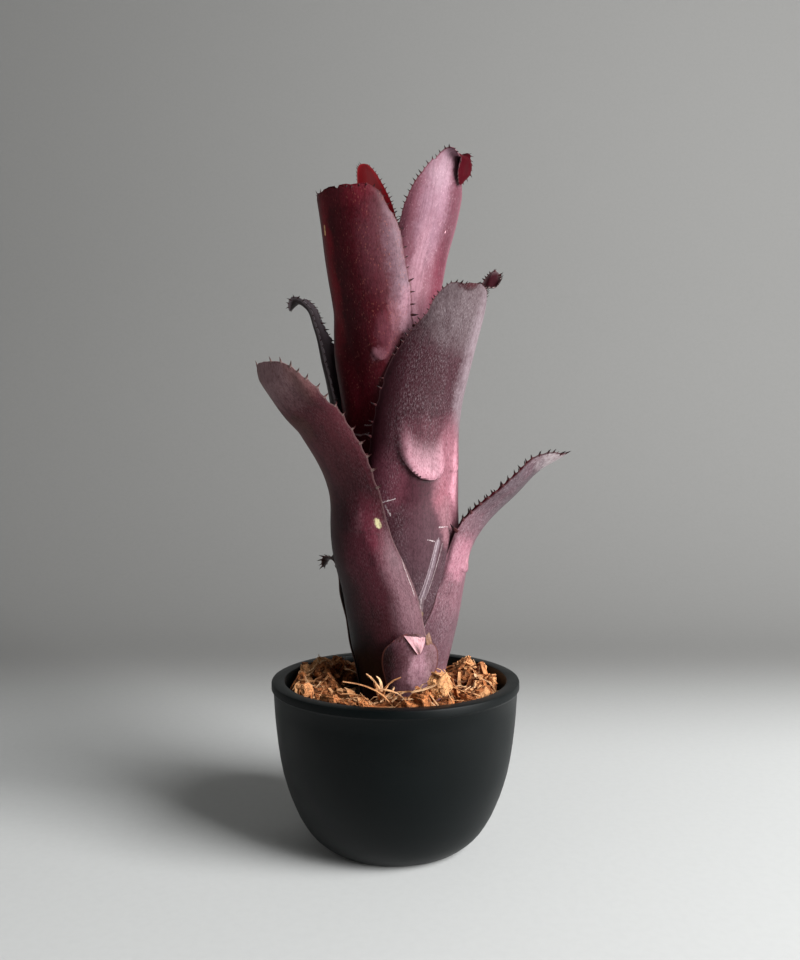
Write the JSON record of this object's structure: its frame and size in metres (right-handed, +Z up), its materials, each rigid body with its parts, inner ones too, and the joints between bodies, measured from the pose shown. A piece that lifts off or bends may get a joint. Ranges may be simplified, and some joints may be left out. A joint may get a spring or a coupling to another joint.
{
  "type": "potted billbergia",
  "caption": "Upright tube-forming bromeliad with spiny wine-red and mauve leaves, growing in a round black plastic pot topped with coconut husk chips.",
  "frame": {"origin": "centre of the flat underside of the pot, on the surface that it stands on", "axes": "+Z up, the plant's front towards -Y, its lowest right-hand leaf towards +X"},
  "size_m": [0.1491, 0.121, 0.3386],
  "materials": {
    "pot_black": "fine matt moulded plastic with a soft sheen",
    "potting_mix": "damp dark compost of bark and coir",
    "stem_cream": "fibrous cream plant tissue",
    "leaf_dark_plum": "stiff leathery leaf with a grey bloom",
    "leaf_wine_red": "satin wine-red leaf with tan flecks",
    "leaf_crimson": "smooth translucent crimson leaf",
    "leaf_grey_purple": "leaf covered in fine silver scales",
    "leaf_pink_mauve": "satin pink-mauve leaf with a pale bloom",
    "husk_orange_brown": "rough fibrous coconut husk"
  },
  "bodies": {
    "root": {"pot": "pot_black", "potting_mix": "potting_mix", "stem": "stem_cream", "basal_scale": "leaf_pink_mauve", "low_back_leaf": "leaf_dark_plum", "outer_left_leaf": "leaf_dark_plum", "right_leaf": "leaf_pink_mauve", "left_narrow_leaf": "leaf_dark_plum", "front_leaf": "leaf_grey_purple", "right_hooked_leaf": "leaf_grey_purple", "tall_left_leaf": "leaf_wine_red", "red_back_leaf": "leaf_crimson", "tall_right_leaf": "leaf_pink_mauve", "husk_chip_01": "husk_orange_brown", "husk_chip_02": "husk_orange_brown", "husk_chip_03": "husk_orange_brown", "husk_chip_04": "husk_orange_brown", "husk_chip_05": "husk_orange_brown", "husk_chip_06": "husk_orange_brown", "husk_chip_07": "husk_orange_brown", "husk_chip_08": "husk_orange_brown", "husk_chip_09": "husk_orange_brown", "husk_chip_10": "husk_orange_brown", "husk_chip_11": "husk_orange_brown", "husk_chip_12": "husk_orange_brown", "husk_chip_13": "husk_orange_brown", "husk_chip_14": "husk_orange_brown", "husk_chip_15": "husk_orange_brown", "husk_chip_16": "husk_orange_brown", "husk_chip_17": "husk_orange_brown", "husk_chip_18": "husk_orange_brown", "husk_chip_19": "husk_orange_brown", "husk_chip_20": "husk_orange_brown", "husk_chip_21": "husk_orange_brown", "husk_chip_22": "husk_orange_brown", "husk_chip_23": "husk_orange_brown", "husk_chip_24": "husk_orange_brown", "husk_chip_25": "husk_orange_brown"}
  },
  "joints": []
}
